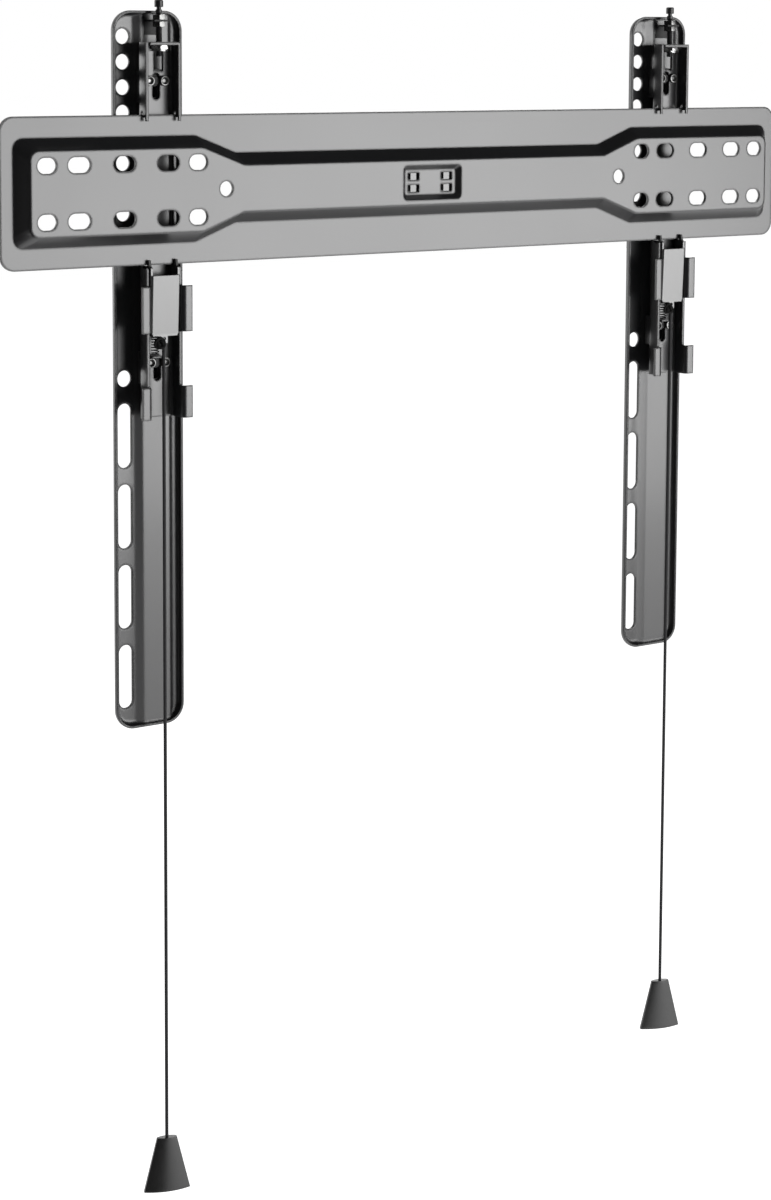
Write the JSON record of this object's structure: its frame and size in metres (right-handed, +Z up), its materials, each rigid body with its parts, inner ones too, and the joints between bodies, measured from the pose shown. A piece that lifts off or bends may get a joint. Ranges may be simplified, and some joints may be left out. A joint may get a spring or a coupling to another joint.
{
  "type": "fixed tv wall bracket",
  "caption": "Slim fixed TV wall bracket: a pressed wall plate with slots, hooked sliding carriages, tall perforated arms, height screws and sprung latches with release cords.",
  "frame": {"origin": "centre of the wall plate on the plane that rests against the wall, between the wall slots", "axes": "+X to the right seen from the wall, along the plate; +Y out of the wall towards the screen; +Z up"},
  "size_m": [0.601, 0.0257, 0.7368],
  "materials": {
    "coated_steel": "satin",
    "plated_steel": "satin",
    "black_plastic": "matte",
    "clear_vial": "gloss",
    "level_fluid": "gloss",
    "cord_cover": "matte"
  },
  "bodies": {
    "plate": {"wall_plate": "coated_steel", "level_housing": "black_plastic", "level_vial": "clear_vial", "level_liquid": "level_fluid"},
    "left_slider": {"left_carriage": "coated_steel", "left_glide_shoe_upper": "black_plastic", "left_glide_shoe_lower": "black_plastic", "left_shoe_screws": "plated_steel", "left_latch_pin": "plated_steel", "left_latch_spring": "plated_steel", "left_press_nut": "plated_steel"},
    "left_upright": {"left_arm": "coated_steel", "left_guide_stud_upper": "plated_steel", "left_guide_stud_lower": "plated_steel", "left_screw_bracket": "plated_steel"},
    "left_height_drive": {"left_height_screw": "plated_steel", "left_bracket_nuts": "plated_steel"},
    "left_lock": {"left_latch": "coated_steel", "left_cord": "cord_cover", "left_cord_pull": "black_plastic"},
    "right_slider": {"right_carriage": "coated_steel", "right_glide_shoe_upper": "black_plastic", "right_glide_shoe_lower": "black_plastic", "right_shoe_screws": "plated_steel", "right_latch_pin": "plated_steel", "right_latch_spring": "plated_steel", "right_press_nut": "plated_steel"},
    "right_upright": {"right_arm": "coated_steel", "right_guide_stud_upper": "plated_steel", "right_guide_stud_lower": "plated_steel", "right_screw_bracket": "plated_steel"},
    "right_height_drive": {"right_height_screw": "plated_steel", "right_bracket_nuts": "plated_steel"},
    "right_lock": {"right_latch": "coated_steel", "right_cord": "cord_cover", "right_cord_pull": "black_plastic"}
  },
  "joints": [
    {"name": "left_along_plate", "type": "slide", "parent": "plate", "child": "left_slider", "axis": [1, 0, 0], "range_m": [-0.055, 0.055]},
    {"name": "left_lift", "type": "slide", "parent": "left_slider", "child": "left_upright", "axis": [0, 0, 1], "range_m": [-0.008, 0.0015]},
    {"name": "left_screw_turn", "type": "hinge", "parent": "left_upright", "child": "left_height_drive", "pos_m": [-0.19223, 0.0138, 0.0796], "axis": [0, 0, 1], "range_deg": [-4140, 800]},
    {"name": "left_unlatch", "type": "slide", "parent": "left_slider", "child": "left_lock", "axis": [0, 0, 1], "range_m": [-0.006, 0], "stiffness_N_per_m": 400, "springref_m": 0.003, "deforming": ["left_latch_spring"]},
    {"name": "right_along_plate", "type": "slide", "parent": "plate", "child": "right_slider", "axis": [1, 0, 0], "range_m": [-0.055, 0.055]},
    {"name": "right_lift", "type": "slide", "parent": "right_slider", "child": "right_upright", "axis": [0, 0, 1], "range_m": [-0.008, 0.0015]},
    {"name": "right_screw_turn", "type": "hinge", "parent": "right_upright", "child": "right_height_drive", "pos_m": [0.20777, 0.0138, 0.0796], "axis": [0, 0, 1], "range_deg": [-4140, 800]},
    {"name": "right_unlatch", "type": "slide", "parent": "right_slider", "child": "right_lock", "axis": [0, 0, 1], "range_m": [-0.006, 0], "stiffness_N_per_m": 400, "springref_m": 0.003, "deforming": ["right_latch_spring"]}
  ],
  "couplings": [
    {"joint": "left_screw_turn", "follows": "left_lift", "rad_per_m": 8976},
    {"joint": "right_screw_turn", "follows": "right_lift", "rad_per_m": 8976}
  ]
}
